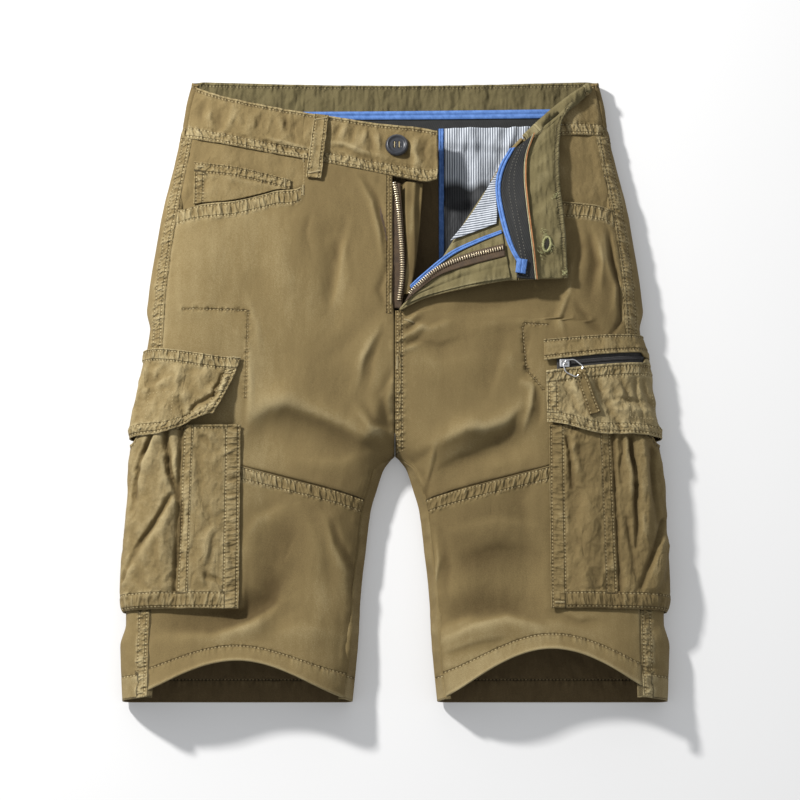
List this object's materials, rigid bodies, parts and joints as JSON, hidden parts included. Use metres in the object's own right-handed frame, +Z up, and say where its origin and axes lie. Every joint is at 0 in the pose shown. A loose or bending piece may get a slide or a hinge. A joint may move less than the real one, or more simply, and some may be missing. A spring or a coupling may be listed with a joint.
{
  "type": "cargo shorts",
  "caption": "Cargo shorts in washed olive twill laid flat, fly open with one front corner turned back, with flapped and zipped side pockets and a button waistband.",
  "frame": {"origin": "on the surface it lies on, under the middle of the garment's bounding box", "axes": "+X to the wearer's left, +Y from the hems to the waist, +Z up out of the front"},
  "size_m": [0.4693, 0.5514, 0.0584],
  "materials": {
    "olive_twill": "washed cotton twill",
    "charcoal_lining": "plain woven lining",
    "blue_binding": "woven binding",
    "striped_bag": "striped cotton",
    "brown_tape": "woven zip tape",
    "black_tape": "woven zip tape with moulded teeth",
    "button": "semi-matt",
    "zip_metal": "polished"
  },
  "bodies": {
    "garment": {"back_left": "olive_twill", "back_right": "olive_twill", "bag_binding_back_left": "blue_binding", "belt_loop_back_1": "olive_twill", "belt_loop_back_2": "olive_twill", "belt_loop_back_3": "olive_twill", "belt_loop_back_4": "olive_twill", "belt_loop_front_left": "olive_twill", "belt_loop_front_right": "olive_twill", "button": "button", "cargo_flap_left": "olive_twill", "cargo_flap_right": "olive_twill", "cargo_pocket_left": "olive_twill", "cargo_pocket_right": "olive_twill", "cargo_welt_left": "olive_twill", "cargo_zip_slider": "zip_metal", "cargo_zip_tape": "black_tape", "coin_pocket_right": "olive_twill", "curtain_back": "charcoal_lining", "curtain_left": "charcoal_lining", "fly_binding_left": "blue_binding", "fly_facing_left": "olive_twill", "fly_shield": "olive_twill", "front_left_lower": "olive_twill", "front_left_upper": "olive_twill", "front_right_lower": "olive_twill", "front_right_upper": "olive_twill", "hip_facing_left": "olive_twill", "hip_facing_right": "olive_twill", "piping_back": "blue_binding", "piping_left": "blue_binding", "piping_tab_left": "blue_binding", "pocket_bag_back_left": "striped_bag", "pocket_bag_front_left": "striped_bag", "waistband_back": "olive_twill", "waistband_front_left": "olive_twill", "waistband_front_right": "olive_twill", "zip_tape_left": "brown_tape", "zip_tape_right": "brown_tape"},
    "zip_pull": {"cargo_zip_pull": "zip_metal", "cargo_pull_tab": "olive_twill"}
  },
  "joints": [
    {"name": "zip_pull_hinge", "type": "hinge", "parent": "garment", "child": "zip_pull", "pos_m": [0.1455, 0.01112, 0.04396], "axis": [-0.5446, -0.8387, 0.0035], "range_deg": [0, 150]}
  ]
}
